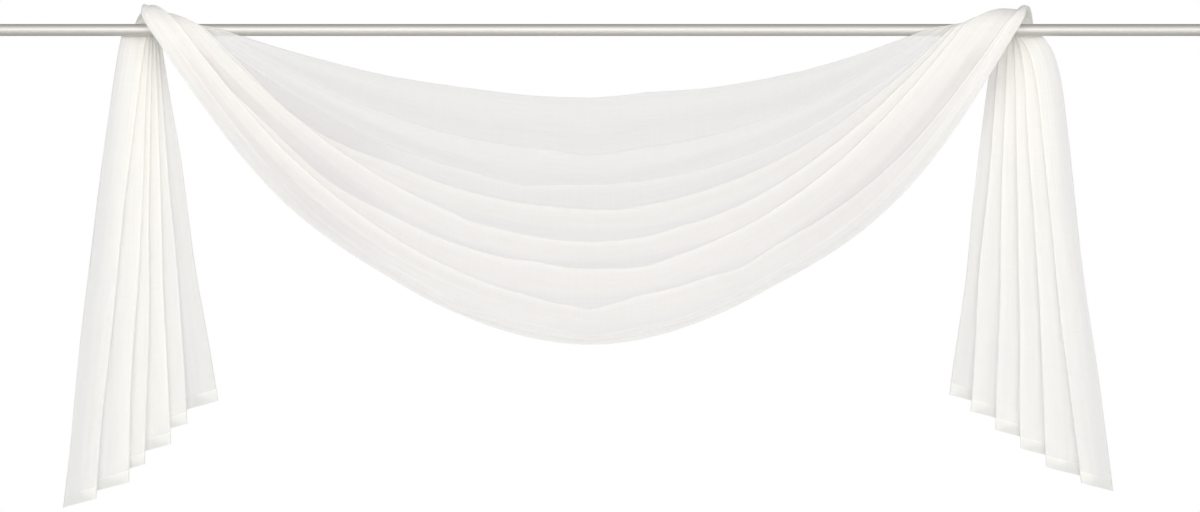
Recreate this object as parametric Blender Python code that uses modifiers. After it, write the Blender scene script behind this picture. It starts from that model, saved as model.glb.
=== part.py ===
"""Sheer valance: one voile scarf draped over a round curtain rod.

The scarf is a single rectangle of cloth, folded lengthwise like a concertina. Each tail hangs behind
the rod. The folds rise behind it, cross over its top and come down in front as one wide swag.
Origin: on the rod's axis at mid-span. +X runs along the rod, +Z is up and -Y faces the room.
"""

import math
from typing import NamedTuple

import bpy

COLLECTION_NAME = "sheer_scarf_valance"

ROD_RADIUS = 0.0125
ROD_LENGTH = 2.600
ROD_SIDES = 32

CLOTH_THICKNESS = 0.0010
HEM_THICKNESS = 0.0015
HEM_DEPTH = 0.025

# The layers lie on top of each other over the rod, each a little farther from its axis.
INNER_RADIUS = 0.01346
ROD_PITCH = 0.0033
SWAG_PITCH = 0.0075
SWAG_FRONT = 0.0135
TAIL_PITCH = 0.0075
TAIL_FRONT = -0.012

# Where in its pitch a strip's flat part starts and ends, and how far a fold's bend may reach into it.
FLAT_START = 0.4
FLAT_END = 0.6
MOST_BEND = 0.25

# Half the width of the V that the packing crease leaves at the middle of the swag.
DIP_HALF_WIDTH = 0.094

# Stations along each stretch of the cloth. Those of a tail are graded, closer together near the rod.
TAIL_STATIONS = 9
WRAP_STATIONS = 9
SWAG_STATIONS = 22
STATIONS_GRADE = 1.7


class Fold(NamedTuple):
    """One lengthwise fold line of the scarf, from hem to hem, in metres from the origin."""

    left_hem_x: float
    left_front_x: float
    swag_drop: float
    swag_dip: float
    right_front_x: float
    right_hem_x: float


# Line 0 is the swag's upper edge and the long outer edge of both tails. The last is the turned-up
# edge under the swag and the short inner edge of both tails.
FOLDS = [
    Fold(-1.096, -0.762, 0.140, 0.000, 0.696, 1.085),
    Fold(-1.027, -0.783, 0.262, 0.012, 0.719, 1.021),
    Fold(-1.054, -0.812, 0.325, 0.000, 0.746, 1.048),
    Fold(-0.963, -0.858, 0.410, 0.000, 0.802, 0.954),
    Fold(-1.013, -0.796, 0.373, 0.000, 0.746, 1.000),
    Fold(-0.931, -0.879, 0.473, 0.000, 0.823, 0.902),
    Fold(-0.979, -0.800, 0.437, 0.000, 0.754, 0.948),
    Fold(-0.879, -0.896, 0.546, 0.000, 0.858, 0.850),
    Fold(-0.938, -0.862, 0.496, 0.000, 0.767, 0.896),
    Fold(-0.846, -0.906, 0.608, 0.000, 0.875, 0.796),
    Fold(-0.900, -0.842, 0.579, 0.019, 0.852, 0.840),
    Fold(-0.783, -0.912, 0.650, 0.000, 0.885, 0.756),
    Fold(-0.821, -0.879, 0.635, 0.012, 0.858, 0.788),
]
STRIPS = len(FOLDS) - 1


class Tail(NamedTuple):
    """How one tail hangs: its side, its long and short drops, and where it rises behind the rod."""

    side: int
    outer_drop: float
    inner_drop: float
    first_even_x: float
    last_even_x: float
    first_odd_x: float
    last_odd_x: float
    outer_spread: float
    inner_spread: float
    front_reach: float


LEFT = Tail(-1, 0.994, 0.765, -0.975, -0.946, -0.925, -0.902, 0.80, 1.00, 0.700)
RIGHT = Tail(1, 0.960, 0.754, 0.931, 0.931, 0.883, 0.883, 0.45, 0.60, 0.650)


def mix(start, end, share):
    """The value at this share of the way from start to end."""
    return start + (end - start) * share


def ease(share):
    """A share from 0 to 1 with a soft start and a soft end."""
    return share * share * (3.0 - 2.0 * share)


def hem_x(tail, line):
    """Where a fold line meets the tail's hem, along the rod."""
    fold = FOLDS[line]
    return fold.left_hem_x if tail.side < 0 else fold.right_hem_x


def front_x(tail, line):
    """Where a fold line comes down past the rod's axis in front of it."""
    fold = FOLDS[line]
    return fold.left_front_x if tail.side < 0 else fold.right_front_x


def back_x(tail, line):
    """Where a fold line rises past the rod's axis behind it."""
    share = line / STRIPS
    if line % 2 == 0:
        return mix(tail.first_even_x, tail.last_even_x, share)
    return mix(tail.first_odd_x, tail.last_odd_x, share)


def tail_drop(tail, line):
    """How far below the axis a fold line's hem end hangs. The hem climbs evenly along the cloth."""
    widths = [abs(hem_x(tail, k + 1) - hem_x(tail, k)) for k in range(STRIPS)]
    return mix(tail.outer_drop, tail.inner_drop, sum(widths[:line]) / sum(widths))


def layer(place):
    """Layers passed at a place across the cloth, counted in strips, with the first layer at 0."""
    return max(0.0, place - FLAT_START)


def rod_radius(place):
    """Distance from the rod's axis where the cloth passes over it."""
    return INNER_RADIUS + ROD_PITCH * layer(place)


def tail_point(tail, line, share):
    """A fold line in a tail, as x and z, at a share of the way from the rod's axis to the hem."""
    spread = mix(tail.outer_spread, tail.inner_spread, line / STRIPS)
    x = mix(back_x(tail, line), hem_x(tail, line), share**spread)
    return x, -tail_drop(tail, line) * share


def tail_depth(place, z):
    """Depth of the cloth in a tail: behind the rod at the top, fanned out at the hem."""
    hem = TAIL_FRONT + TAIL_PITCH * layer(place)
    return mix(rod_radius(place), hem, ease(min(1.0, -z / LEFT.outer_drop)))


def wrap_point(tail, line, share):
    """A fold line over the rod, as x and angle, from behind the axis to in front of it."""
    fold = FOLDS[line]
    start, end = back_x(tail, line), front_x(tail, line)
    steepness = 2.0 * fold.swag_drop / abs(end)
    end_slope = -tail.side * math.pi * rod_radius(line) / steepness
    x = mix(start, end, ease(share)) + end_slope * share * share * (share - 1.0)
    return x, math.pi * share


def swag_point(line, share):
    """A fold line in the swag, as x and z, with share running from -1 at the left to 1."""
    fold = FOLDS[line]
    tail = LEFT if share < 0 else RIGHT
    x = abs(share) * front_x(tail, line)
    curve = (fold.swag_drop - fold.swag_dip) * (1.0 - share * share)
    dip = fold.swag_dip * max(0.0, 1.0 - abs(x) / DIP_HALF_WIDTH)
    return x, -curve - dip


def swag_depth(place, x):
    """Depth of the cloth in the swag: on the layers over the rod at its ends, fullest mid-way."""
    reach = (LEFT if x < 0 else RIGHT).front_reach
    swell = max(0.0, 1.0 - (x / reach) ** 2) ** 2
    centre = SWAG_FRONT + SWAG_PITCH * layer(place)
    return -mix(rod_radius(place), centre, swell)


def across(points, pitch):
    """Places across the cloth at one station, as (place, first, second) with the bends rounded.

    points holds a flat position for each fold line. Each strip gets a bend, a flat part and
    the next strip's bend, so the layers lie side by side and the folds turn over softly.
    """
    rows = [(0.0, *points[0])]
    for strip in range(STRIPS):
        (a0, b0), (a1, b1) = points[strip], points[strip + 1]
        width = max(math.hypot(a1 - a0, b1 - b0), 1e-6)
        bend = min(MOST_BEND, 0.5 * pitch / width)
        for place, share in ((FLAT_START, bend), (FLAT_END, 1.0 - bend), (1.0, 1.0)):
            rows.append((strip + place, mix(a0, a1, share), mix(b0, b1, share)))
    return rows


def tail_stations(tail):
    """Stations of one tail from the hem up to the rod's axis, as lists of world points."""
    stations = []
    for step in range(TAIL_STATIONS + 1):
        points = []
        for line in range(STRIPS + 1):
            drop = tail_drop(tail, line)
            body = (drop - HEM_DEPTH) / drop
            rise = (1.0 - (step - 1) / TAIL_STATIONS) ** STATIONS_GRADE
            points.append(tail_point(tail, line, 1.0 if step == 0 else body * rise))
        rows = across(points, ROD_PITCH)
        stations.append([(x, tail_depth(place, z), z) for place, x, z in rows])
    return stations


def wrap_stations(tail):
    """Stations over the rod, from behind it to in front, without the first."""
    stations = []
    for step in range(WRAP_STATIONS):
        share = step / WRAP_STATIONS
        points = [wrap_point(tail, line, share) for line in range(STRIPS + 1)]
        station = []
        for place, x, angle in across(points, ROD_PITCH):
            radius = rod_radius(place)
            station.append((x, radius * math.cos(angle), radius * math.sin(angle)))
        stations.append(station)
    return stations


def swag_stations():
    """Stations of the swag from its left end to its right end."""
    stations = []
    for step in range(SWAG_STATIONS + 1):
        share = 2.0 * step / SWAG_STATIONS - 1.0
        points = [swag_point(line, share) for line in range(STRIPS + 1)]
        rows = across(points, ROD_PITCH)
        stations.append([(x, swag_depth(place, x), z) for place, x, z in rows])
    return stations


def make_material(name, colour, roughness, metallic=0.0):
    """A plain material with one colour."""
    material = bpy.data.materials.new(name)
    material.use_nodes = True
    shader = material.node_tree.nodes["Principled BSDF"]
    shader.inputs["Base Color"].default_value = (*colour, 1.0)
    shader.inputs["Roughness"].default_value = roughness
    shader.inputs["Metallic"].default_value = metallic
    return material


def make_scarf(collection):
    """The scarf, hem to hem: a grid of stations along the cloth and places across it."""
    stations = tail_stations(LEFT) + wrap_stations(LEFT) + swag_stations()
    stations += wrap_stations(RIGHT)[::-1] + tail_stations(RIGHT)[::-1]
    columns = len(stations[0])
    points = [point for station in stations for point in station]
    faces = []
    for row in range(len(stations) - 1):
        for column in range(columns - 1):
            corner = row * columns + column
            faces.append((corner, corner + 1, corner + columns + 1, corner + columns))
    mesh = bpy.data.meshes.new("scarf")
    mesh.from_pydata(points, [], faces)
    mesh.shade_smooth()
    scarf = bpy.data.objects.new("scarf", mesh)
    collection.objects.link(scarf)

    weave = scarf.vertex_groups.new(name="hem")
    hem_rows = (0, 1, len(stations) - 2, len(stations) - 1)
    weave.add([r * columns + c for r in hem_rows for c in range(columns)], 1.0, "REPLACE")
    shell = scarf.modifiers.new("cloth", "SOLIDIFY")
    shell.thickness = HEM_THICKNESS
    shell.offset = 0.0
    shell.use_even_offset = False
    shell.vertex_group = weave.name
    shell.thickness_vertex_group = CLOTH_THICKNESS / HEM_THICKNESS
    mesh.materials.append(make_material("voile", (0.86, 0.85, 0.81), 0.85))
    return scarf


def make_rod(collection):
    """The rod that the scarf hangs from, plain, with flat ends."""
    bpy.ops.mesh.primitive_cylinder_add(
        vertices=ROD_SIDES, radius=ROD_RADIUS, depth=ROD_LENGTH, rotation=(0.0, math.pi / 2, 0.0)
    )
    rod = bpy.context.object
    rod.name = "rod"
    rod.data.shade_smooth()
    rod.data.set_sharp_from_angle(angle=math.radians(40))
    rod.data.materials.append(make_material("rod_metal", (0.52, 0.50, 0.47), 0.35, 1.0))
    for other in list(rod.users_collection):
        other.objects.unlink(rod)
    collection.objects.link(rod)
    return rod


def main():
    """Builds the valance in a collection of its own."""
    for thing in list(bpy.data.objects):
        bpy.data.objects.remove(thing, do_unlink=True)
    collection = bpy.data.collections.new(COLLECTION_NAME)
    bpy.context.scene.collection.children.link(collection)
    make_rod(collection)
    make_scarf(collection)


if __name__ == "__main__":
    main()
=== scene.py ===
"""Sheer valance: an ivory voile scarf draped over a satin nickel curtain rod.

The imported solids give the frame: the rod's axis is the X axis, +Z is up and -Y faces the room.
The scarf here lies on its solid's folds, sampled finely, with soft flutes and small unevenness.
"""

import logging
import math
from dataclasses import dataclass, field
from enum import Enum
from typing import Any, Optional, Sequence

import bmesh
import bpy
from mathutils import Matrix, Vector, noise


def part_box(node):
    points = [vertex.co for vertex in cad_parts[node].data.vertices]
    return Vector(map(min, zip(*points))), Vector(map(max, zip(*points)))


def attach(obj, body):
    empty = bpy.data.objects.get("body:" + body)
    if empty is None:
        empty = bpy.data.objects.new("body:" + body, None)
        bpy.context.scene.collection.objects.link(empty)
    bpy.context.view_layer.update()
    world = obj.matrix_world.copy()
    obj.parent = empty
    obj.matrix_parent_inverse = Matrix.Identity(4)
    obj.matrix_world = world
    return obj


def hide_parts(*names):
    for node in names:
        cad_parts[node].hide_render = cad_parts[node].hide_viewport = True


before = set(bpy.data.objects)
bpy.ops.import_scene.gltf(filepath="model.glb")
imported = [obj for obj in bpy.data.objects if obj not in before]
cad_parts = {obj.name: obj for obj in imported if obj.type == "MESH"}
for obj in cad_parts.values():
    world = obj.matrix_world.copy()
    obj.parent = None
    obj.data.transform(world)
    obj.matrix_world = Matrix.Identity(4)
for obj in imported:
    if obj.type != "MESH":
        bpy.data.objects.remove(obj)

LOG = logging.getLogger("sheer_valance")
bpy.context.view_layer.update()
UV_NAME = "cloth"
TINY = 1e-7


class Side(Enum):
    """Which end of the valance, as the sign of its X."""

    LEFT = -1
    RIGHT = 1


def mix(start: float, end: float, share: float) -> float:
    """The value at this share of the way from start to end."""
    return start + (end - start) * share


def ease(share: float) -> float:
    """A share from 0 to 1 with a soft start and a soft end."""
    share = min(1.0, max(0.0, share))
    return share * share * (3.0 - 2.0 * share)


class Signal:
    """A shader socket that takes part in Python expressions, each adding its Math node."""

    def __init__(self, graph: "Graph", socket: Any) -> None:
        """Keeps the socket and the graph that new nodes go into."""
        self.graph = graph
        self.socket = socket

    def _math(self, operation: str, *values: Any, clamp: bool = False) -> "Signal":
        """A Math node over values, as its output.

        Args:
            operation: the Math node's operation.
            values: numbers or signals, in the node's order.
            clamp: whether the result is kept from 0 to 1.

        Returns:
            The node's output as a signal.
        """
        settings = {"operation": operation, "use_clamp": clamp}
        return self.graph.node("ShaderNodeMath", settings, dict(enumerate(values)))

    def __add__(self, other: Any) -> "Signal":
        """self + other."""
        return self._math("ADD", self, other)

    def __sub__(self, other: Any) -> "Signal":
        """self - other."""
        return self._math("SUBTRACT", self, other)

    def __rsub__(self, other: Any) -> "Signal":
        """other - self."""
        return self._math("SUBTRACT", other, self)

    def __mul__(self, other: Any) -> "Signal":
        """self * other."""
        return self._math("MULTIPLY", self, other)

    def __abs__(self) -> "Signal":
        """abs(self)."""
        return self._math("ABSOLUTE", self)

    __radd__ = __add__
    __rmul__ = __mul__

    def sine(self) -> "Signal":
        """The sine of self, in radians."""
        return self._math("SINE", self)

    def pingpong(self, scale: float) -> "Signal":
        """self folded back and forth between 0 and scale."""
        return self._math("PINGPONG", self, scale)

    def least(self, other: Any) -> "Signal":
        """The lower of self and other."""
        return self._math("MINIMUM", self, other)

    def most(self, other: Any) -> "Signal":
        """The higher of self and other."""
        return self._math("MAXIMUM", self, other)

    def clamped(self) -> "Signal":
        """self kept from 0 to 1."""
        return self._math("ADD", self, 0.0, clamp=True)

    def fade(self, start: float, end: float) -> "Signal":
        """1 where self is at start, 0 where it is at end, and smooth between.

        Args:
            start: where the result is 1.
            end: where the result is 0.

        Returns:
            The smooth share as a signal.
        """
        settings = {"interpolation_type": "SMOOTHSTEP"}
        values = {"Value": self, "From Min": end, "From Max": start}
        return self.graph.node("ShaderNodeMapRange", settings, values)


class Graph:
    """One material's nodes."""

    def __init__(self, name: str) -> None:
        """Makes an empty node material of this name."""
        self.material = bpy.data.materials.new(name)
        self.material.use_nodes = True
        self.tree = self.material.node_tree
        self.tree.nodes.clear()
        self.output = self.tree.nodes.new("ShaderNodeOutputMaterial")

    def node(
        self,
        kind: str,
        settings: Optional[dict] = None,
        values: Optional[dict] = None,
        out: Any = 0,
    ) -> Signal:
        """Adds one node.

        Args:
            kind: the node's type name.
            settings: its properties, set first.
            values: its sockets' values or links, by name or index.
            out: which output to return.

        Returns:
            That output as a signal.
        """
        made = self.tree.nodes.new(kind)
        for key, value in (settings or {}).items():
            setattr(made, key, value)
        for key, value in (values or {}).items():
            if isinstance(value, Signal):
                self.tree.links.new(value.socket, made.inputs[key])
            elif value is not None:
                made.inputs[key].default_value = value
        return Signal(self, made.outputs[out])

    def surface(self, shader: Signal) -> bpy.types.Material:
        """Sends shader to the output and returns the material."""
        self.tree.links.new(shader.socket, self.output.inputs["Surface"])
        return self.material

    def blend(self, share: Any, first: Any, second: Any) -> Signal:
        """A colour share of the way from first to second.

        Args:
            share: the share, a number or a signal.
            first: the colour at 0.
            second: the colour at 1.

        Returns:
            The mixed colour.
        """
        made = self.tree.nodes.new("ShaderNodeMix")
        made.data_type = "RGBA"
        sockets = {s.identifier: s for s in made.inputs}
        given = (("Factor_Float", share), ("A_Color", first), ("B_Color", second))
        for name, value in given:
            if isinstance(value, Signal):
                self.tree.links.new(value.socket, sockets[name])
            else:
                sockets[name].default_value = value
        result = next(s for s in made.outputs if s.identifier == "Result_Color")
        return Signal(self, result)

    def point(self, source: str, scale: Sequence[float]) -> Signal:
        """Object or UV coordinates, scaled.

        Args:
            source: "Object" or "UV".
            scale: a factor for each axis.

        Returns:
            The scaled vector.
        """
        if source == "UV":
            start = self.node("ShaderNodeUVMap", {"uv_map": UV_NAME})
        else:
            start = self.node("ShaderNodeTexCoord", out=source)
        return self.node("ShaderNodeMapping", values={"Vector": start, "Scale": tuple(scale)})

    def grain(self, source: str, scale: Sequence[float], detail: float = 2.0) -> Signal:
        """Noise around 0, from about -0.5 to 0.5.

        Args:
            source: "Object" or "UV".
            scale: how finely it varies along each axis.
            detail: how many finer layers it has.

        Returns:
            The noise as a signal.
        """
        values = {"Vector": self.point(source, scale), "Scale": 1.0, "Detail": detail}
        return self.node("ShaderNodeTexNoise", values=values) - 0.5


@dataclass(frozen=True)
class FlankGap:
    """A shadowed gap between the folds of one of the swag's flanks, counted in strips across."""

    side: Side
    across: float
    half_width: float


@dataclass(frozen=True)
class Voile:
    """Sheer plain-weave voile: threads that let some light through, with gaps between them.

    Shade is painted into its colour: each strip that hangs behind a fold is a little darker
    in its middle, and the cloth that shows in the flanks' gaps is darker too. Distances are in
    metres on the flat cloth. A pair of values for a fade says where it is full and where it has
    ended. A noise's scale says how finely it varies across and along the cloth.
    """

    width: float
    length: float
    strips: int
    hem_depth: float
    left_knot: float = 0.970
    right_knot: float = 3.050
    gather_reach: float = 0.55
    tail_fade: float = 0.15

    thread: tuple = (0.989, 0.985, 0.957, 1.0)
    thread_pale: tuple = (0.990, 0.990, 0.980, 1.0)
    lit_through: tuple = (0.989, 0.986, 0.965, 1.0)
    hole_tint: tuple = (0.945, 0.925, 0.930, 1.0)
    glow: float = 0.50
    roughness: float = 0.75
    specular: float = 0.25
    sheen: float = 0.15
    sheen_roughness: float = 0.4

    thread_pitch: float = 0.0009
    warp_scale: tuple = (420.0, 9.0, 1.0)
    weft_scale: tuple = (9.0, 420.0, 1.0)
    cloud_scale: tuple = (14.0, 6.0, 1.0)
    pleat_scale: tuple = (150.0, 1.5, 1.0)
    streak_scale: tuple = (34.0, 0.9, 1.0)

    selvedge: float = 0.004
    edge_blur: float = 0.0006
    crease_core: float = 0.0035
    # How far a soft band of painted light reaches either side of each crease, and the share of the
    # crease's density that it gets.
    crease_reach: float = 0.016
    crease_light_share: float = 0.8
    seam_inset: float = 0.002
    seam_fade: tuple = (0.0003, 0.0012)
    selvedge_dense: float = 0.35
    crease_dense: float = 0.25

    cover: float = 0.74
    weave_cover: float = 0.04
    warp_cover: float = 0.05
    weft_cover: float = 0.04
    cloud_cover: float = 0.05
    pleat_cover: float = 0.24
    streak_cover: float = 0.12
    tail_cover: float = 0.08
    dense_cover: float = 0.30
    seam_cover: float = 0.10

    tone: float = 0.35
    cloud_tone: float = 0.6
    # Painted shade: the colour that strips behind a fold and the flanks' gaps are darkened
    # towards, and where and how strongly.
    painted_shade: tuple = (0.850, 0.815, 0.810, 1.0)
    painted_shade_fade: tuple = (0.09, 0.22)
    painted_shade_from: tuple = (2.1, 1.7)
    painted_shade_weight: float = 0.28
    # The flanks' gaps, where painted shade darkens the cloth's colour.
    gaps: tuple = (
        FlankGap(Side.LEFT, 2.35, 0.30),
        FlankGap(Side.LEFT, 6.58, 0.14),
        FlankGap(Side.LEFT, 10.58, 0.12),
        FlankGap(Side.RIGHT, 8.68, 0.12),
    )
    gap_blur: float = 0.12
    gap_near: tuple = (0.16, 0.08)
    gap_far: tuple = (0.50, 0.75)
    gap_shade_weight: float = 0.85

    bump_strength: float = 0.25
    bump_distance: float = 0.0004
    weave_height: float = 0.6
    thread_height: float = 0.8
    hem_height: float = 1.5
    pleat_height: float = 6.0

    def painted_shade_share(self, place: Signal, into_swag: dict, open_cloth: Signal) -> Signal:
        """How much of the painted shade's colour the cloth takes.

        Every second strip hangs behind a fold, and painted shade darkens its middle. Their
        middles are at places 0.5, 2.5 and so on.

        Args:
            place: the place across the cloth, in strips.
            into_swag: for each side, the distance from its knot into the swag.
            open_cloth: 1 where the cloth is neither gathered nor in a tail, and 0 where it is.

        Returns:
            A share from 0 to 1.
        """
        behind = (place * 0.5 - 0.25).pingpong(0.5).fade(*self.painted_shade_fade)
        painted_shade = behind * place.fade(*self.painted_shade_from) * open_cloth * self.painted_shade_weight
        for gap in self.gaps:
            inward = into_swag[gap.side]
            reach = inward.fade(*self.gap_near) * inward.fade(*self.gap_far)
            core = abs(place - gap.across).fade(gap.half_width, gap.half_width + self.gap_blur)
            painted_shade = painted_shade.most(core * reach * self.gap_shade_weight)
        return painted_shade.clamped()

    def build(self) -> bpy.types.Material:
        """Builds the material.

        Returns:
            The voile, dense at its hems, selvedges and pressed creases, with painted light in a
            soft band either side of each crease.
        """
        g = Graph("voile")
        flat = g.node("ShaderNodeUVMap", {"uv_map": UV_NAME})
        across = g.node("ShaderNodeSeparateXYZ", values={"Vector": flat})
        along = Signal(g, across.socket.node.outputs[1])
        place = across * (self.strips / self.width)

        from_left, from_right = along - self.left_knot, along - self.right_knot
        gathered = abs(from_left).least(abs(from_right)).fade(0.0, self.gather_reach)
        tails = from_left.fade(-self.tail_fade, self.tail_fade)
        tails = tails.most(from_right.fade(self.tail_fade, -self.tail_fade))

        turn = 2.0 * math.pi / self.thread_pitch
        weave = (across * turn).sine() * (along * turn).sine()
        warp = g.grain("UV", self.warp_scale)
        weft = g.grain("UV", self.weft_scale)
        clouds = g.grain("UV", self.cloud_scale, 4.0)
        pleats = g.grain("UV", self.pleat_scale, 3.0) * gathered
        streaks = g.grain("UV", self.streak_scale, 3.0)

        fold = place.pingpong(0.5) * (self.width / self.strips)
        # The narrow core is the pressed crease's real density; the wider band either side is
        # painted light on the cloth's curve, added as density and a creamier tone.
        painted_crease_light = fold.fade(0.0, self.crease_reach) * self.crease_light_share
        crease = fold.fade(0.0, self.crease_core).most(painted_crease_light)
        end = along.least(self.length - along)
        hem = end.fade(self.hem_depth - self.edge_blur, self.hem_depth + self.edge_blur)
        seam = (end - (self.hem_depth - self.seam_inset)).pingpong(1.0).fade(*self.seam_fade)
        side = across.least(self.width - across)
        selvedge = side.fade(self.selvedge - self.edge_blur, self.selvedge + self.edge_blur)
        dense = hem.most(selvedge * self.selvedge_dense).most(crease * self.crease_dense)

        cover = self.cover + weave * self.weave_cover + warp * self.warp_cover
        cover = cover + weft * self.weft_cover + clouds * self.cloud_cover
        cover = cover + pleats * self.pleat_cover + streaks * self.streak_cover
        cover = cover + tails * self.tail_cover + dense * self.dense_cover
        cover = (cover + seam * self.seam_cover).clamped()

        tone = (dense + clouds * self.cloud_tone + pleats + self.tone).clamped()
        # Painted shade: the middles of strips behind a fold and the flanks' gaps are darkened in
        # the colour, where the cloth is open.
        into_swag = {Side.LEFT: from_left, Side.RIGHT: from_right * -1.0}
        painted_shade = self.painted_shade_share(place, into_swag, (1.0 - tails) * (1.0 - gathered))
        colour = g.blend(tone, self.thread_pale, self.thread)
        colour = g.blend(painted_shade, colour, self.painted_shade)

        height = weave * self.weave_height + (warp + weft) * self.thread_height
        height = height + (hem - seam) * self.hem_height + pleats * self.pleat_height + streaks
        relief = {
            "Strength": self.bump_strength,
            "Distance": self.bump_distance,
            "Height": height,
        }
        bump = g.node("ShaderNodeBump", values=relief)
        lit = {
            "Base Color": colour,
            "Roughness": self.roughness,
            "Specular IOR Level": self.specular,
            "Sheen Weight": self.sheen,
            "Sheen Roughness": self.sheen_roughness,
            "Normal": bump,
        }
        threads = g.node("ShaderNodeBsdfPrincipled", values=lit)
        behind = {"Color": self.lit_through, "Normal": bump}
        glowing = g.node("ShaderNodeBsdfTranslucent", values=behind)
        cloth = g.node("ShaderNodeMixShader", values={0: self.glow, 1: threads, 2: glowing})
        holes = g.node("ShaderNodeBsdfTransparent", values={"Color": self.hole_tint})
        return g.surface(g.node("ShaderNodeMixShader", values={0: cover, 1: holes, 2: cloth}))


@dataclass(frozen=True)
class HemThread:
    """The sewing thread of the end hems."""

    colour: tuple = (0.93, 0.92, 0.87, 1.0)
    pale: tuple = (0.98, 0.975, 0.95, 1.0)
    twist_scale: tuple = (900.0, 900.0, 900.0)
    roughness: float = 0.55

    def build(self) -> bpy.types.Material:
        """Builds the material: twisted thread, paler on its turns."""
        g = Graph("hem_thread")
        twist = (g.grain("Object", self.twist_scale) + 0.5).clamped()
        colour = g.blend(twist, self.colour, self.pale)
        values = {"Base Color": colour, "Roughness": self.roughness}
        return g.surface(g.node("ShaderNodeBsdfPrincipled", values=values))


@dataclass(frozen=True)
class SatinNickel:
    """Satin nickel with fine lengthwise brushing."""

    colour: tuple = (0.59, 0.57, 0.545, 1.0)
    bright: tuple = (0.655, 0.64, 0.61, 1.0)
    roughness: float = 0.60
    line_scale: tuple = (3.0, 1400.0, 1400.0)
    line_rough: float = 0.14
    patch_scale: tuple = (6.0, 30.0, 30.0)
    patch_rough: float = 0.06
    patch_bright: float = 0.5

    def build(self) -> bpy.types.Material:
        """Builds the material: brush lines along the rod that vary its colour and roughness."""
        g = Graph("satin_nickel")
        lines = g.grain("Object", self.line_scale, 3.0)
        patches = g.grain("Object", self.patch_scale, 3.0)
        share = (lines + patches * self.patch_bright + 0.5).clamped()
        colour = g.blend(share, self.colour, self.bright)
        rough = self.roughness + lines * self.line_rough + patches * self.patch_rough
        values = {"Base Color": colour, "Roughness": rough, "Metallic": 1.0}
        return g.surface(g.node("ShaderNodeBsdfPrincipled", values=values))


@dataclass(frozen=True)
class Plaster:
    """The studio floor's pale, even finish."""

    colour: tuple = (0.86, 0.86, 0.86, 1.0)
    roughness: float = 0.9

    def build(self) -> bpy.types.Material:
        """Builds the material."""
        g = Graph("pale_floor")
        values = {"Base Color": self.colour, "Roughness": self.roughness}
        return g.surface(g.node("ShaderNodeBsdfPrincipled", values=values))


def add_piece(name: str, bm: bmesh.types.BMesh, material: bpy.types.Material) -> bpy.types.Object:
    """Makes an object of a finished bmesh and frees it.

    Args:
        name: the piece's name.
        bm: its shape, in the row frame.
        material: its finish.

    Returns:
        The object, at the origin.
    """
    mesh = bpy.data.meshes.new(name)
    bm.to_mesh(mesh)
    bm.free()
    mesh.materials.append(material)
    piece = bpy.data.objects.new(name, mesh)
    bpy.context.scene.collection.objects.link(piece)
    return piece


@dataclass(frozen=True)
class Fold:
    """One lengthwise fold line of the scarf, from hem to hem, in metres from the origin."""

    left_hem_x: float
    left_front_x: float
    swag_drop: float
    swag_dip: float
    right_front_x: float
    right_hem_x: float


@dataclass(frozen=True)
class Kink:
    """A dip of one fold line in the swag, or a rise where down is below 0, in metres."""

    x: float
    down: float
    half_width: float


@dataclass(frozen=True)
class Tail:
    """How one tail hangs: its drops, where it rises behind the rod, and how it spreads.

    A spread is the power of the depth that a fold line moves out by, and flare the share of the
    way that it moves out near the rod. The puff is loose cloth that stands up over the rod.
    """

    side: Side
    outer_drop: float
    inner_drop: float
    first_even_x: float
    last_even_x: float
    first_odd_x: float
    last_odd_x: float
    outer_spread: float
    inner_spread: float
    front_reach: float
    fan_x: float
    puff: float
    puff_x: float
    puff_out: float
    puff_in: float
    flare: float = 0.0


# The fold lines, from the swag's upper selvedge to its lower one.
FOLDS = (
    Fold(-1.096, -0.762, 0.140, 0.000, 0.696, 1.085),
    Fold(-1.027, -0.783, 0.262, 0.012, 0.719, 1.021),
    Fold(-1.054, -0.812, 0.325, 0.000, 0.746, 1.048),
    Fold(-0.963, -0.858, 0.410, 0.000, 0.802, 0.954),
    Fold(-1.013, -0.796, 0.373, 0.000, 0.746, 1.000),
    Fold(-0.931, -0.879, 0.473, 0.000, 0.823, 0.902),
    Fold(-0.979, -0.800, 0.437, 0.000, 0.754, 0.948),
    Fold(-0.879, -0.896, 0.546, 0.000, 0.858, 0.850),
    Fold(-0.938, -0.862, 0.496, 0.000, 0.767, 0.896),
    Fold(-0.846, -0.906, 0.608, 0.000, 0.875, 0.796),
    Fold(-0.900, -0.842, 0.579, 0.019, 0.852, 0.840),
    Fold(-0.783, -0.912, 0.650, 0.000, 0.885, 0.756),
    Fold(-0.821, -0.879, 0.635, 0.012, 0.858, 0.788),
)
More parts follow.
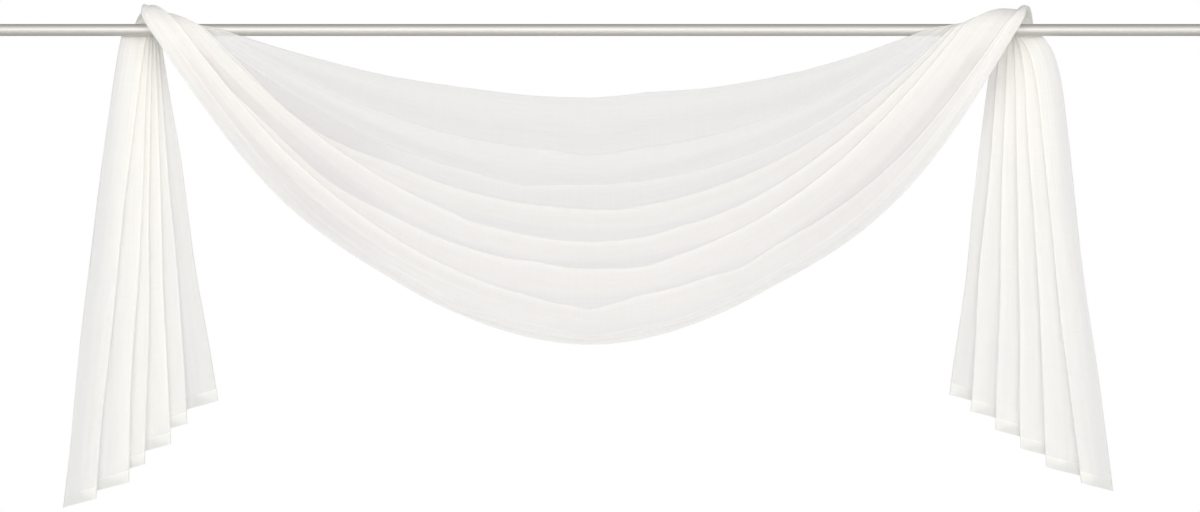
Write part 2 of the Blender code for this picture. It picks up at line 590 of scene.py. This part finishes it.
# The kinks of each fold line in the swag, under the line's number.
KINKS = {
    0: (Kink(-0.280, -0.008, 0.200), Kink(0.120, -0.008, 0.120)),
    2: (Kink(-0.146, 0.010, 0.100),),
    4: (Kink(0.060, 0.004, 0.120), Kink(-0.610, 0.040, 0.230)),
    5: (Kink(-0.125, 0.010, 0.080), Kink(0.285, 0.004, 0.060), Kink(-0.560, -0.006, 0.160)),
    6: (Kink(-0.243, 0.005, 0.060), Kink(0.188, -0.004, 0.050)),
    7: (Kink(0.354, 0.008, 0.060), Kink(0.740, 0.010, 0.360)),
    8: (Kink(-0.110, -0.005, 0.060), Kink(0.110, 0.006, 0.070), Kink(-0.550, 0.017, 0.160)),
    9: (Kink(-0.230, -0.004, 0.070), Kink(0.740, 0.044, 0.400)),
    10: (
        Kink(0.313, 0.010, 0.070),
        Kink(-0.090, 0.005, 0.050),
        Kink(0.700, 0.034, 0.360),
        Kink(-0.690, 0.012, 0.300),
    ),
    11: (Kink(0.740, 0.064, 0.400), Kink(-0.690, 0.030, 0.300)),
    12: (Kink(-0.254, 0.012, 0.050), Kink(0.740, 0.046, 0.400), Kink(-0.640, 0.026, 0.300)),
}
LEFT = Tail(
    side=Side.LEFT,
    outer_drop=0.994,
    inner_drop=0.765,
    first_even_x=-0.975,
    last_even_x=-0.946,
    first_odd_x=-0.925,
    last_odd_x=-0.902,
    outer_spread=0.80,
    inner_spread=1.00,
    front_reach=0.700,
    fan_x=-0.930,
    puff=0.008,
    puff_x=-0.895,
    puff_out=0.070,
    puff_in=0.130,
)
RIGHT = Tail(
    side=Side.RIGHT,
    outer_drop=0.960,
    inner_drop=0.754,
    first_even_x=0.931,
    last_even_x=0.931,
    first_odd_x=0.883,
    last_odd_x=0.883,
    outer_spread=1.10,
    inner_spread=1.10,
    front_reach=0.650,
    fan_x=0.905,
    puff=0.008,
    puff_x=0.858,
    puff_out=0.070,
    puff_in=0.150,
    flare=0.30,
)


@dataclass(frozen=True)
class Place:
    """A place across the flat cloth, where one column of vertices lies.

    Across counts strips. The angle is how far the cloth has turned where the place is in a bend,
    and None on a strip's flat part. The share is how far across the flat part the place is.
    """

    across: float
    strip: int
    angle: Optional[float]
    share: float


@dataclass
class ScarfShape:
    """Where each point of the flat scarf lies once draped, in metres.

    Fold lines are numbered from the swag's upper selvedge, and each strip lies after its line.
    A pitch is the distance between layers, and a ripple's room is a share of it.
    """

    width: float = 0.880
    length: float = 4.000
    hem_depth: float = 0.025
    inner_radius: float = 0.01346
    rod_pitch: float = 0.0033
    swag_pitch: float = 0.0075
    swag_front: float = 0.0135
    tail_pitch: float = 0.0075
    tail_front: float = -0.012

    dip_half_width: float = 0.094
    soft_kink: float = 0.15
    crown_out: float = 0.005
    crown_peak: float = 28.9
    flare_depth: float = 0.04
    nest_rate: float = 2.5
    lean_top: float = 0.80
    lean_down: float = 1.35
    lean_up: float = 0.70
    soft_reach: float = 0.5
    crease_reach: float = 0.15
    widest_bend: float = 0.25

    bulges: tuple = (0.012, 0.011, 0.006)
    bulge_skew: float = 0.7
    bulge_round: float = 1.5
    waver: float = 0.0040
    waver_rate: float = 3.1
    waver_gain: float = 1.6
    waver_apart: float = 7.7
    waver_start: float = 0.5
    waver_plane: float = 1.3
    tail_waver_at: float = 5.0
    swag_half: float = 0.9
    flute: float = 0.0018
    flute_rate: float = 150.0
    flute_drift: float = 31.0
    flute_shift: float = 1.5
    flute_grow: float = 1.4
    fan_z: float = 0.22
    ripples: float = 1.5
    ripple_drift: float = 0.9
    ripple_stagger: float = 0.37
    broad_ripple: float = 0.7
    fine_ripple: float = 0.5
    fine_rate: float = 1.7
    drift_rate: float = 1.4
    drift_apart: float = 3.3
    drift_plane: float = 0.2
    tail_ripple: float = 0.32
    wrap_ripple: float = 0.25
    swag_ripple: float = 0.28

    bend_share: float = 0.12
    bend_steps: int = 3
    flat_shares: tuple = (0.03, 0.12, 0.25, 0.38, 0.50, 0.62, 0.75, 0.88, 0.97, 1.0)
    hem_rows: int = 4
    tail_steps: int = 88
    tail_crowding: float = 1.25
    wrap_steps: int = 44
    swag_steps: int = 132
    strips: int = len(FOLDS) - 1
    places: list = field(default_factory=list)

    def __post_init__(self) -> None:
        """Lists the places across the cloth: each strip's first bend, flat part and last bend."""
        quarter = 0.5 * math.pi
        turned = [(step + 1) / self.bend_steps for step in range(self.bend_steps)]
        start, end = self.bend_share, 1.0 - self.bend_share
        self.places = [Place(0.0, 0, None, 0.0)]
        for strip in range(self.strips):
            for part in turned:
                self.places.append(Place(strip + start * part, strip, quarter * part, 0.0))
            for share in self.flat_shares:
                self.places.append(Place(strip + mix(start, end, share), strip, None, share))
            for part in turned:
                angle = quarter * (1.0 - part)
                self.places.append(Place(strip + end + start * part, strip, angle, 1.0))

    def wobble(self, line: int, along: float) -> float:
        """A smooth unevenness of one fold line at a distance along the cloth, about -1 to 1."""
        row = line * self.waver_apart + self.waver_start
        where = Vector((along * self.waver_rate, row, self.waver_plane))
        return noise.noise(where) * self.waver_gain

    def hem_x(self, tail: Tail, line: int) -> float:
        """Where a fold line meets the tail's hem."""
        fold = FOLDS[line]
        return fold.left_hem_x if tail.side is Side.LEFT else fold.right_hem_x

    def front_x(self, tail: Tail, line: int) -> float:
        """Where a fold line comes down past the rod's axis in front of it."""
        fold = FOLDS[line]
        return fold.left_front_x if tail.side is Side.LEFT else fold.right_front_x

    def back_x(self, tail: Tail, line: int) -> float:
        """Where a fold line rises past the rod's axis behind it."""
        share = line / self.strips
        if line % 2 == 0:
            return mix(tail.first_even_x, tail.last_even_x, share)
        return mix(tail.first_odd_x, tail.last_odd_x, share)

    def tail_drop(self, tail: Tail, line: int) -> float:
        """How far below the axis a fold line's hem end hangs."""
        widths = [abs(self.hem_x(tail, k + 1) - self.hem_x(tail, k)) for k in range(self.strips)]
        return mix(tail.outer_drop, tail.inner_drop, sum(widths[:line]) / sum(widths))

    def rod_radius(self, layer: float) -> float:
        """Distance of a layer from the rod's axis where it passes over the rod."""
        return self.inner_radius + self.rod_pitch * max(0.0, layer)

    def lean(self, strip: int, low: float) -> float:
        """How many layers a strip of the nested swag stands out towards the room.

        Args:
            strip: which strip.
            low: 0 at the strip's upper fold line and 1 at its lower one.

        Returns:
            The lean, counted in layers.
        """
        bottom = self.lean_down * ease(2.0 * low - 1.0)
        if strip < 2:
            return 0.0
        if strip == 2:
            return bottom
        if strip % 2 == 0:
            return self.lean_top * (1.0 - ease(2.0 * low)) + bottom
        return mix(self.lean_top, self.lean_up, low)

    def spread(
        self, points: Sequence[tuple], place: Place, pitch: float, nested: float = 0.0
    ) -> tuple[float, float, float]:
        """A place across the cloth at one station, from the fold lines' points there.

        Args:
            points: a pair of coordinates for each fold line.
            place: one of self.places.
            pitch: how far apart the layers lie.
            nested: how far the lower folds lean on the layer in front of them, from 0 to 1.

        Returns:
            The two coordinates and the layer, counted from 0.
        """
        strip, share = place.strip, place.share
        (a0, b0), (a1, b1) = points[strip], points[strip + 1]
        wide = max(math.hypot(a1 - a0, b1 - b0), TINY)
        bend = mix(self.soft_reach, self.crease_reach, nested) * pitch / wide
        bend = min(self.widest_bend, bend)
        low = share if strip % 2 == 0 else 1.0 - share
        layer = strip + nested * self.lean(strip, low)
        at = mix(bend, 1.0 - bend, share)
        if place.angle is not None:
            reach = bend * (1.0 - math.cos(place.angle))
            lift = 0.5 * (1.0 - math.sin(place.angle))
            if strip > 1:
                lift *= 1.0 - nested * low * (self.lean_down - self.lean_up)
            at = reach if share == 0.0 else 1.0 - reach
            layer += -lift if share == 0.0 else lift
        layer = min(self.strips - 1.0, max(0.0, layer))
        return mix(a0, a1, at), mix(b0, b1, at), layer

    def ripple(self, place: Place, along: float, room: float) -> float:
        """Small soft flutes along the cloth within one strip.

        Args:
            place: one of self.places.
            along: distance along the cloth.
            room: the most that a layer may move.

        Returns:
            How far the cloth stands out of its layer.
        """
        if place.angle is not None:
            return 0.0
        window = math.sin(math.pi * place.share)
        row = place.strip * self.drift_apart
        drift = noise.noise(Vector((along * self.drift_rate, row, self.drift_plane)))
        turns = self.ripples * place.across + self.ripple_drift * drift
        angle = 2.0 * math.pi * (turns + self.ripple_stagger * place.strip)
        broad = self.broad_ripple * math.sin(angle)
        fine = self.fine_ripple * math.sin(self.fine_rate * angle + place.strip)
        return room * window * (broad + fine)

    def tail_station(self, tail: Tail, share: float, from_hem: float) -> list[tuple]:
        """A tail's points at one station.

        Args:
            tail: which tail.
            share: 0 at the rod's axis and 1 at the top of the hem.
            from_hem: how far up the hem the station is, for stations in the hem, or -1.

        Returns:
            A point for each place across the cloth.
        """
        points = []
        for line in range(self.strips + 1):
            drop = self.tail_drop(tail, line)
            down = share * (drop - self.hem_depth) / drop
            if from_hem >= 0.0:
                down = (drop - from_hem) / drop
            power = mix(tail.outer_spread, tail.inner_spread, line / self.strips)
            flared = 1.0 - math.exp(-down / self.flare_depth)
            out = mix(down**power, flared, tail.flare)
            x = mix(self.back_x(tail, line), self.hem_x(tail, line), out)
            wobble = self.wobble(line, self.tail_waver_at + tail.side.value * down)
            x += self.waver * wobble * ease(down * 2.0)
            points.append((x, -drop * down))
        station = []
        for place in self.places:
            x, z, layer = self.spread(points, place, self.rod_pitch)
            sunk = ease(-z / LEFT.outer_drop)
            y = mix(self.rod_radius(layer), self.tail_front + self.tail_pitch * layer, sunk)
            pitch = mix(self.rod_pitch, self.tail_pitch, sunk)
            y += self.ripple(place, z, self.tail_ripple * pitch)
            fan = math.atan2(x - tail.fan_x, self.fan_z - z)
            shift = self.flute_shift * math.sin(self.flute_drift * fan)
            flutes = math.sin(self.flute_rate * fan + shift)
            y += self.flute * ease(-self.flute_grow * z) * flutes
            station.append((x, y, z))
        return station

    def wrap_station(self, tail: Tail, share: float) -> list[tuple]:
        """The points of one station over the rod, from behind it, 0, to in front, 1.

        The crown's push outwards follows share**3 * (1 - share)**2, and crown_peak makes that
        curve's top 1.

        Args:
            tail: the tail that the cloth comes from.
            share: how far round the rod the station is.

        Returns:
            A point for each place across the cloth.
        """
        points = []
        for line in range(self.strips + 1):
            start, end = self.back_x(tail, line), self.front_x(tail, line)
            steepness = 2.0 * FOLDS[line].swag_drop / abs(end)
            slope = -tail.side.value * math.pi * self.rod_radius(line - 0.5) / steepness
            x = mix(start, end, ease(share)) + slope * share * share * (share - 1.0)
            pushed = self.crown_peak * share**3 * (1.0 - share) ** 2
            x += tail.side.value * self.crown_out * pushed
            points.append((x, math.pi * share))
        station = []
        room = self.wrap_ripple * self.rod_pitch
        for place in self.places:
            x, angle, layer = self.spread(points, place, self.rod_pitch)
            radius = self.rod_radius(layer) + self.ripple(place, share, room)
            away = (x - tail.puff_x) * tail.side.value
            near = 1.0 - abs(away) / (tail.puff_out if away > 0 else tail.puff_in)
            radius += tail.puff * ease(near) * math.sin(angle) * layer / self.strips
            radius = max(radius, self.inner_radius)
            station.append((x, radius * math.cos(angle), radius * math.sin(angle)))
        return station

    def swag_station(self, share: float) -> list[tuple]:
        """The swag's points at one station.

        Args:
            share: -1 at the swag's left end and 1 at its right end.

        Returns:
            A point for each place across the cloth.
        """
        tail = LEFT if share < 0 else RIGHT
        points = []
        for line in range(self.strips + 1):
            fold = FOLDS[line]
            x = abs(share) * self.front_x(tail, line)
            curve = (fold.swag_drop - fold.swag_dip) * (1.0 - share * share)
            dip = fold.swag_dip * max(0.0, 1.0 - abs(x) / self.dip_half_width)
            middle = 1.0 - share**4
            for kink in KINKS.get(line, ()):
                near = max(0.0, 1.0 - abs(x - kink.x) / kink.half_width)
                if kink.half_width > self.soft_kink:
                    near = ease(near)
                dip += kink.down * near * middle
            wobble = self.wobble(line, share * self.swag_half)
            z = -curve - dip + self.waver * wobble * middle
            points.append((x, z))
        station = []
        nested = ease(self.nest_rate * (1.0 - abs(share)))
        for place in self.places:
            x, z, layer = self.spread(points, place, self.rod_pitch, nested)
            reach = (LEFT if x < 0 else RIGHT).front_reach
            swell = max(0.0, 1.0 - (x / reach) ** 2) ** 2
            y = -mix(self.rod_radius(layer), self.swag_front + self.swag_pitch * layer, swell)
            pitch = mix(self.rod_pitch, self.swag_pitch, swell)
            y += self.ripple(place, share, self.swag_ripple * pitch)
            if place.strip < len(self.bulges) and place.angle is None:
                round_out = math.sin(math.pi * place.share**self.bulge_skew) ** self.bulge_round
                y -= self.bulges[place.strip] * nested * round_out
            station.append((x, y, z))
        return station

    def stations(self) -> list[list[tuple]]:
        """All stations of the cloth, from the left hem to the right hem."""
        hem = [self.hem_depth * k / self.hem_rows for k in range(self.hem_rows)]
        rises = [1.0 - k / self.tail_steps for k in range(self.tail_steps)]
        falls = [rise**self.tail_crowding for rise in rises]

        def one_tail(tail: Tail) -> list[list[tuple]]:
            """One tail's stations and its wrap's, from its hem."""
            made = [self.tail_station(tail, 1.0, up) for up in hem]
            made += [self.tail_station(tail, fall, -1.0) for fall in falls]
            steps = range(self.wrap_steps)
            return made + [self.wrap_station(tail, k / self.wrap_steps) for k in steps]

        swag = range(self.swag_steps + 1)
        middle = [self.swag_station(2.0 * k / self.swag_steps - 1.0) for k in swag]
        return one_tail(LEFT) + middle + one_tail(RIGHT)[::-1]


@dataclass
class Scarf:
    """The draped voile with its sewn hems."""

    shape: ScarfShape
    stitch_length: float = 0.0021
    stitch_gap: float = 0.0009
    stitch_width: float = 0.00042
    stitch_inset: float = 0.0225
    stitch_lift: float = 0.0003
    measured_every: int = 12

    def cloth_lengths(self, stations: list[list[tuple]]) -> list[float]:
        """How far along the flat cloth each station lies, from the mean of its fold lines.

        Args:
            stations: the draped points.

        Returns:
            A distance for each station, from 0 to the cloth's length.
        """
        sampled = range(0, len(stations[0]), self.measured_every)
        reached = [0.0]
        for before, after in zip(stations, stations[1:]):
            steps = [math.dist(before[k], after[k]) for k in sampled]
            reached.append(reached[-1] + sum(steps) / len(steps))
        hem, rows = self.shape.hem_depth, self.shape.hem_rows
        first, last = reached[rows], reached[-1 - rows]
        scale = (self.shape.length - 2 * hem) / (last - first)
        along = [hem + (value - first) * scale for value in reached]
        for row in range(rows):
            along[row] = hem * row / rows
            along[-1 - row] = self.shape.length - hem * row / rows
        return along

    def make_cloth(
        self, stations: list[list[tuple]], material: bpy.types.Material
    ) -> bpy.types.Object:
        """The sheet: a grid with a vertex for each place at each station.

        Args:
            stations: the draped points.
            material: the voile.

        Returns:
            The cloth, with its flat coordinates in metres as its UV map.
        """
        columns, rows = len(stations[0]) - 1, len(stations) - 1
        along = self.cloth_lengths(stations)
        strip_width = self.shape.width / self.shape.strips
        bm = bmesh.new()
        bmesh.ops.create_grid(bm, x_segments=columns, y_segments=rows, size=0.5)
        flat = {}
        for vert in bm.verts:
            column = round((vert.co.x + 0.5) * columns)
            row = round((vert.co.y + 0.5) * rows)
            flat[vert] = (self.shape.places[column].across * strip_width, along[row])
            vert.co = stations[row][column]
        layer = bm.loops.layers.uv.new(UV_NAME)
        for face in bm.faces:
            face.smooth = True
            for loop in face.loops:
                loop[layer].uv = flat[loop.vert]
        return add_piece("draped_voile", bm, material)

    def make_stitches(
        self, stations: list[list[tuple]], material: bpy.types.Material
    ) -> bpy.types.Object:
        """Both hems' rows of stitches, joined into one piece.

        Args:
            stations: the draped points.
            material: the thread.

        Returns:
            The stitches, lying on the cloth's room side.
        """
        bm = bmesh.new()
        share = self.stitch_inset / self.shape.hem_depth * self.shape.hem_rows
        low, high = int(share), int(share) + 1
        for rows in ((stations[low], stations[high]), (stations[-1 - low], stations[-1 - high])):
            line = [Vector(a).lerp(Vector(b), share - low) for a, b in zip(*rows)]
            self.sew(bm, line)
        return add_piece("hem_stitches", bm, material)

    def sew(self, bm: bmesh.types.BMesh, line: list[Vector]) -> None:
        """Adds a row of stitches along a line.

        Args:
            bm: where the stitches go.
            line: the seam's points across the cloth.
        """
        step = self.stitch_length + self.stitch_gap
        lift = Vector((0.0, -self.stitch_lift, 0.0))
        size = Matrix.Diagonal((self.stitch_length, self.stitch_width, self.stitch_width, 1.0))
        waiting = 0.0
        for start, end in zip(line, line[1:]):
            run = (end - start).length
            if run < TINY:
                continue
            heading = (end - start) / run
            turn = Vector((1.0, 0.0, 0.0)).rotation_difference(heading).to_matrix().to_4x4()
            while waiting < run:
                middle = start + heading * waiting + lift
                place = Matrix.Translation(middle) @ turn @ size
                bmesh.ops.create_cube(bm, size=1.0, matrix=place)
                waiting += step
            waiting -= run

    def build(self) -> list[bpy.types.Object]:
        """Returns:
            The pieces.
        """
        stations = self.shape.stations()
        voile = Voile(self.shape.width, self.shape.length, self.shape.strips, self.shape.hem_depth)
        cloth = self.make_cloth(stations, voile.build())
        stitches = self.make_stitches(stations, HemThread().build())
        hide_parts("scarf")
        return [cloth, stitches]


@dataclass
class CurtainRod:
    """The plain round rod: eased end edges, and a ring near each that keeps its sides true."""

    sides: int = 96
    edge: float = 0.0008
    end_ring: float = 0.0040

    def build(self) -> list[bpy.types.Object]:
        """Builds the rod in its solid's place.

        Returns:
            The rod, as a list of one piece.
        """
        low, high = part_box("rod")
        length, radius = high.x - low.x, (high.z - low.z) / 2
        turn = Matrix.Translation((low + high) / 2) @ Matrix.Rotation(math.pi / 2, 4, "Y")
        bm = bmesh.new()
        bmesh.ops.create_cone(
            bm,
            cap_ends=True,
            segments=self.sides,
            radius1=radius,
            radius2=radius,
            depth=length,
            matrix=turn,
        )
        rims = [e for e in bm.edges if abs(e.verts[0].co.x - e.verts[1].co.x) < self.edge]
        bmesh.ops.bevel(
            bm, geom=rims, offset=self.edge, affect="EDGES", segments=3, profile=0.5, material=-1
        )
        for ring_x in (low.x + self.end_ring, high.x - self.end_ring):
            whole = bm.verts[:] + bm.edges[:] + bm.faces[:]
            cut = {"plane_co": (ring_x, 0.0, 0.0), "plane_no": (1.0, 0.0, 0.0)}
            bmesh.ops.bisect_plane(bm, geom=whole, **cut)
        for face in bm.faces:
            face.smooth = len(face.verts) == 4
        rod = add_piece("curtain_rod", bm, SatinNickel().build())
        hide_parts("rod")
        return [rod]


@dataclass(frozen=True)
class Panel:
    """A soft rectangular light: where it stands, its width and height, and its watts."""

    name: str
    place: tuple
    size: tuple
    power: float


@dataclass
class Studio:
    """The camera, the soft lights and the pale floor."""

    view_width: float = 2.500
    centre_x: float = 0.0208
    centre_z: float = -0.4708
    distance: float = 6.000
    sensor: float = 36.0
    floor_z: float = -2.150
    floor_radius: float = 11.5
    floor_sides: int = 96
    farthest: float = 200.0
    room_glow: float = 0.80
    wall_glow: float = 0.16
    layers_seen_through: int = 64
    bounces: int = 32
    diffuse_bounces: int = 20
    transmission_bounces: int = 24
    panels: tuple = (
        Panel("key", (-1.4, -4.6, 0.85), (3.2, 1.8), 88.0),
        Panel("fill", (2.0, -4.6, 0.30), (2.8, 1.8), 68.0),
        Panel("lift", (0.0, -3.2, -1.95), (4.0, 1.2), 14.0),
    )

    def make_camera(self) -> None:
        """A level camera straight in front, with the photograph's framing."""
        data = bpy.data.cameras.new("camera")
        data.sensor_width = self.sensor
        data.lens = self.sensor * self.distance / self.view_width
        data.clip_end = self.farthest
        camera = bpy.data.objects.new("camera", data)
        camera.location = (self.centre_x, -self.distance, self.centre_z)
        camera.rotation_euler = (math.pi / 2, 0.0, 0.0)
        bpy.context.scene.collection.objects.link(camera)
        bpy.context.scene.camera = camera

    def make_light(self, panel: Panel) -> None:
        """Makes one panel's light, which faces the middle of the picture."""
        data = bpy.data.lights.new(panel.name, "AREA")
        data.shape = "RECTANGLE"
        data.size, data.size_y = panel.size
        data.energy = panel.power
        light = bpy.data.objects.new(panel.name, data)
        light.visible_camera = False
        light.location = panel.place
        aim = Vector((self.centre_x, 0.0, self.centre_z)) - Vector(panel.place)
        light.rotation_euler = aim.to_track_quat("-Z", "Y").to_euler()
        bpy.context.scene.collection.objects.link(light)

    def make_world(self) -> None:
        """An even surround: white where it is seen, and bright on the room's side as light."""
        world = bpy.data.worlds.new("surround")
        world.use_nodes = True
        nodes, links = world.node_tree.nodes, world.node_tree.links
        nodes.clear()
        path = nodes.new("ShaderNodeLightPath")
        out = nodes.new("ShaderNodeOutputWorld")
        where = nodes.new("ShaderNodeTexCoord")
        parts = nodes.new("ShaderNodeSeparateXYZ")
        links.new(where.outputs["Generated"], parts.inputs[0])
        room = nodes.new("ShaderNodeMapRange")
        room.interpolation_type = "SMOOTHSTEP"
        links.new(parts.outputs["Y"], room.inputs["Value"])
        for socket, value in zip(room.inputs[1:5], (-1.0, 1.0, self.room_glow, self.wall_glow)):
            socket.default_value = value
        light, seen = nodes.new("ShaderNodeBackground"), nodes.new("ShaderNodeBackground")
        links.new(room.outputs[0], light.inputs["Strength"])
        for shade in (light, seen):
            shade.inputs["Color"].default_value = (1.0, 1.0, 1.0, 1.0)
        choose = nodes.new("ShaderNodeMixShader")
        links.new(path.outputs["Is Camera Ray"], choose.inputs[0])
        links.new(light.outputs[0], choose.inputs[1])
        links.new(seen.outputs[0], choose.inputs[2])
        links.new(choose.outputs[0], out.inputs["Surface"])
        bpy.context.scene.world = world

    def make_floor(self) -> None:
        """A wide pale floor far below the valance."""
        bm = bmesh.new()
        place = Matrix.Translation((0.0, 0.0, self.floor_z))
        bmesh.ops.create_circle(
            bm, cap_ends=True, segments=self.floor_sides, radius=self.floor_radius, matrix=place
        )
        floor = add_piece("studio_floor", bm, Plaster().build())

    def build(self) -> None:
        """Builds the whole studio."""
        self.make_camera()
        self.make_world()
        for panel in self.panels:
            self.make_light(panel)
        self.make_floor()
        scene = bpy.context.scene
        scene.view_settings.view_transform = "Standard"
        scene.cycles.transparent_max_bounces = self.layers_seen_through
        scene.cycles.max_bounces = self.bounces
        scene.cycles.diffuse_bounces = self.diffuse_bounces
        scene.cycles.transmission_bounces = self.transmission_bounces


def main() -> None:
    """Builds the studio and the valance, piece by piece."""
    logging.basicConfig(level=logging.INFO, format="%(message)s")
    Studio().build()
    pieces = CurtainRod().build() + Scarf(ScarfShape()).build()
    for piece in pieces:
        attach(piece, "root")
        LOG.info("%s: %d faces", piece.name, len(piece.data.polygons))


if __name__ == "__main__":
    main()
